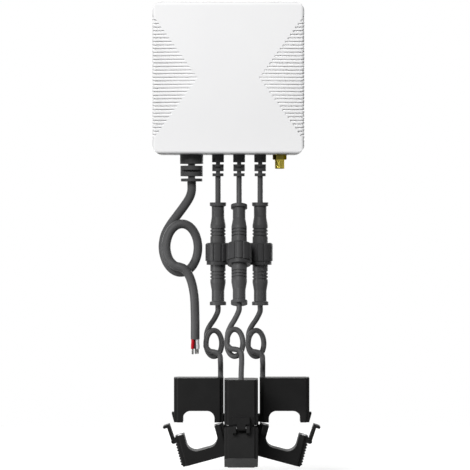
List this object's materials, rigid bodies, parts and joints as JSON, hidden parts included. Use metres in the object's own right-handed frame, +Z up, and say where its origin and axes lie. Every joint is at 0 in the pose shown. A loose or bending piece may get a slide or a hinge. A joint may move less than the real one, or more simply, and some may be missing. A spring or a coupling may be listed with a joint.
{
  "type": "smart energy monitor",
  "caption": "Square wall box with a grooved front, a looped power cord with bare cores, an antenna jack, and sensor leads with screw connectors to split-core current clamps",
  "frame": {"origin": "centre of the rear wall face of the box", "axes": "+Z up, +X to the picture's right, the front faces -Y and the wall lies at y = 0"},
  "size_m": [0.111, 0.0656, 0.3071],
  "materials": {
    "shell_white": "fine matte moulded",
    "cover_white": "fine matte moulded",
    "gasket_rubber": "matte",
    "screw_steel": "plated",
    "board_green": "solder mask",
    "module_black": "moulded",
    "radio_can": "satin",
    "capacitor_sleeve": "shrink sleeve",
    "terminal_green": "moulded",
    "socket_ivory": "moulded",
    "wire_grey": "matte",
    "jack_gold": "gold plated",
    "jack_insulator": "satin",
    "relief_rubber": "matte moulded",
    "cord_rubber": "satin sheath",
    "core_red": "satin insulation",
    "core_black": "satin insulation",
    "core_white": "satin insulation",
    "tinned_wire": "tinned strands",
    "connector_grey": "satin moulded",
    "nut_grey": "satin moulded",
    "clamp_black": "fine matte moulded",
    "core_steel": "ground faces",
    "coil_copper": "enamelled winding"
  },
  "bodies": {
    "root": {"front_shell": "shell_white", "rear_cover": "cover_white", "cover_gasket": "gasket_rubber", "connector_seals": "gasket_rubber", "cover_screws": "screw_steel", "pcb_screws": "screw_steel", "ct_hinge_pins": "screw_steel", "main_pcb": "board_green", "power_module": "module_black", "radio_module": "radio_can", "capacitors": "capacitor_sleeve", "terminal_block": "terminal_green", "sensor_sockets": "socket_ivory", "inner_wires": "wire_grey", "antenna_pigtail": "wire_grey", "sma_body": "jack_gold", "sma_washer": "jack_gold", "sma_nut": "jack_gold", "sma_contact": "jack_gold", "connector_pins": "jack_gold", "sma_insulator": "jack_insulator", "power_relief": "relief_rubber", "sensor_relief_left": "relief_rubber", "sensor_relief_middle": "relief_rubber", "sensor_relief_right": "relief_rubber", "power_cord": "cord_rubber", "sensor_lead_left": "cord_rubber", "sensor_lead_middle": "cord_rubber", "sensor_lead_right": "cord_rubber", "sensor_cord_left": "cord_rubber", "sensor_cord_middle": "cord_rubber", "sensor_cord_right": "cord_rubber", "power_core_red": "core_red", "power_core_black": "core_black", "power_core_white": "core_white", "core_tips": "tinned_wire", "plug_body_left": "connector_grey", "plug_body_middle": "connector_grey", "plug_body_right": "connector_grey", "socket_body_left": "connector_grey", "socket_body_middle": "connector_grey", "socket_body_right": "connector_grey", "ct_housing_left": "clamp_black", "ct_housing_middle": "clamp_black", "ct_housing_right": "clamp_black", "ct_upper_cores": "core_steel", "ct_coils": "coil_copper"},
    "jaw_left": {"ct_jaw_left": "clamp_black", "ct_jaw_core_left": "core_steel"},
    "latch_left": {"ct_latch_left": "clamp_black"},
    "nut_left": {"coupling_nut_left": "nut_grey"},
    "jaw_middle": {"ct_jaw_middle": "clamp_black", "ct_jaw_core_middle": "core_steel"},
    "latch_middle": {"ct_latch_middle": "clamp_black"},
    "nut_middle": {"coupling_nut_middle": "nut_grey"},
    "jaw_right": {"ct_jaw_right": "clamp_black", "ct_jaw_core_right": "core_steel"},
    "latch_right": {"ct_latch_right": "clamp_black"},
    "nut_right": {"coupling_nut_right": "nut_grey"}
  },
  "joints": [
    {"name": "jaw_hinge_left", "type": "hinge", "parent": "root", "child": "jaw_left", "pos_m": [-0.0004, -0.012, -0.22915], "axis": [0, -1, 0], "range_deg": [-15, 15]},
    {"name": "jaw_hinge_middle", "type": "hinge", "parent": "root", "child": "jaw_middle", "pos_m": [0.0084, -0.0627, -0.22865], "axis": [-1, 0, 0], "range_deg": [-15, 25]},
    {"name": "jaw_hinge_right", "type": "hinge", "parent": "root", "child": "jaw_right", "pos_m": [0.018, -0.012, -0.22915], "axis": [0, 1, 0], "range_deg": [-15, 15]},
    {"name": "latch_pivot_left", "type": "hinge", "parent": "jaw_left", "child": "latch_left", "pos_m": [-0.03643, -0.012, -0.24036], "axis": [0, -1, 0], "range_deg": [-4, 8], "stiffness_Nm_per_rad": 0.05},
    {"name": "latch_pivot_middle", "type": "hinge", "parent": "jaw_middle", "child": "latch_middle", "pos_m": [0.0084, -0.02667, -0.23986], "axis": [-1, 0, 0], "range_deg": [-4, 8], "stiffness_Nm_per_rad": 0.05},
    {"name": "latch_pivot_right", "type": "hinge", "parent": "jaw_right", "child": "latch_right", "pos_m": [0.05403, -0.012, -0.24036], "axis": [0, 1, 0], "range_deg": [-4, 8], "stiffness_Nm_per_rad": 0.05},
    {"name": "nut_turn_left", "type": "hinge", "parent": "root", "child": "nut_left", "pos_m": [-0.0069, -0.017, -0.07245], "axis": [0, 0, 1], "continuous": true},
    {"name": "nut_turn_middle", "type": "hinge", "parent": "root", "child": "nut_middle", "pos_m": [0.0071, -0.017, -0.07245], "axis": [0, 0.3007, 0.9537], "continuous": true},
    {"name": "nut_turn_right", "type": "hinge", "parent": "root", "child": "nut_right", "pos_m": [0.0211, -0.017, -0.07245], "axis": [0, 0, 1], "continuous": true}
  ]
}
